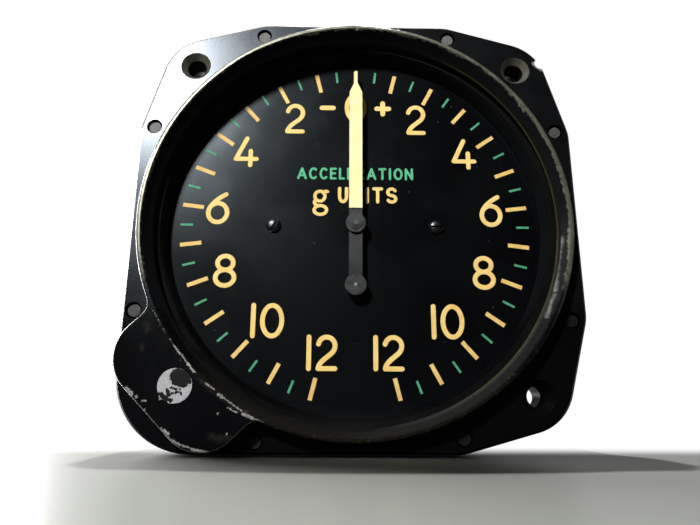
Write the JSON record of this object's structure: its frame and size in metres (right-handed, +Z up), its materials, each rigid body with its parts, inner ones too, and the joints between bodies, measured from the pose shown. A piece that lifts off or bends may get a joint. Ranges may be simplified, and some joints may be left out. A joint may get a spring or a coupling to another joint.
{
  "type": "panel-mounted g-meter",
  "caption": "Aircraft accelerometer for a panel: square flange, round bezel, black dial from minus 12 to plus 12 g, one pointer, sprung mass lever geared to it in a round case.",
  "frame": {"origin": "on the instrument's axis, in the plane of the flange's front face", "axes": "+X right as the dial is read, +Y back into the case, +Z up"},
  "size_m": [0.0821, 0.0621, 0.0821],
  "materials": {
    "black_casting": "worn satin black paint on cast aluminium",
    "black_case": "satin black paint",
    "plug_metal": "bare metal with half of its paint worn off",
    "black_ring": "satin black",
    "clear_glass": "polished clear glass",
    "rubber": "matt black rubber",
    "screw_steel": "dull zinc-plated steel",
    "dial_black": "matt black dial paint",
    "lume_paint": "aged cream luminous paint",
    "green_paint": "faded green paint",
    "black_screw": "blackened steel",
    "pointer_grey": "dark grey paint",
    "brass": "lacquered brass",
    "steel": "polished steel",
    "spring_steel": "blued spring steel",
    "plate_aluminium": "machined aluminium"
  },
  "bodies": {
    "housing": {"front_casting": "black_casting", "knob_hole_plug": "plug_metal", "glass_retaining_ring": "black_ring", "cover_glass": "clear_glass", "glass_gasket": "rubber", "case_gasket": "rubber", "case": "black_case", "case_screws": "screw_steel", "movement_screws": "screw_steel", "dial": "dial_black", "major_graduations": "lume_paint", "minor_graduations": "green_paint", "dial_screws": "black_screw", "dial_posts": "brass", "front_plate": "plate_aluminium", "back_plate": "plate_aluminium", "plate_pillars": "brass", "back_plate_screws": "screw_steel", "travel_stops": "steel", "staff_bearings": "brass", "staff_bridge": "brass", "bridge_screws": "screw_steel", "hairspring": "spring_steel", "hairspring_stud": "brass", "arbor_bearings": "brass", "spring_posts": "steel", "upper_spring": "spring_steel", "lower_spring": "spring_steel"},
    "lever": {"lever_arbor": "steel", "sector_gear": "brass", "mass_lever": "steel", "inertia_mass": "brass", "mass_screws": "screw_steel", "spring_pin": "steel"},
    "hand": {"pinion_staff": "steel", "pointer": "pointer_grey", "pointer_lume": "lume_paint", "pointer_counterweight": "pointer_grey", "pointer_hub": "pointer_grey", "hairspring_collet": "brass"}
  },
  "joints": [
    {"name": "lever_swing", "type": "hinge", "parent": "housing", "child": "lever", "pos_m": [0.01485, 0.028, -0.01485], "axis": [0, 1, 0], "range_deg": [-15, 15], "stiffness_Nm_per_rad": 0.254, "springref_deg": 1.25, "deforming": ["upper_spring", "lower_spring"]},
    {"name": "hand_turn", "type": "hinge", "parent": "housing", "child": "hand", "pos_m": [0, 0.01, 0], "axis": [0, 1, 0], "range_deg": [-165.5, 165.5], "deforming": ["hairspring"]}
  ],
  "couplings": [
    {"joint": "hand_turn", "follows": "lever_swing", "ratio": -11}
  ]
}
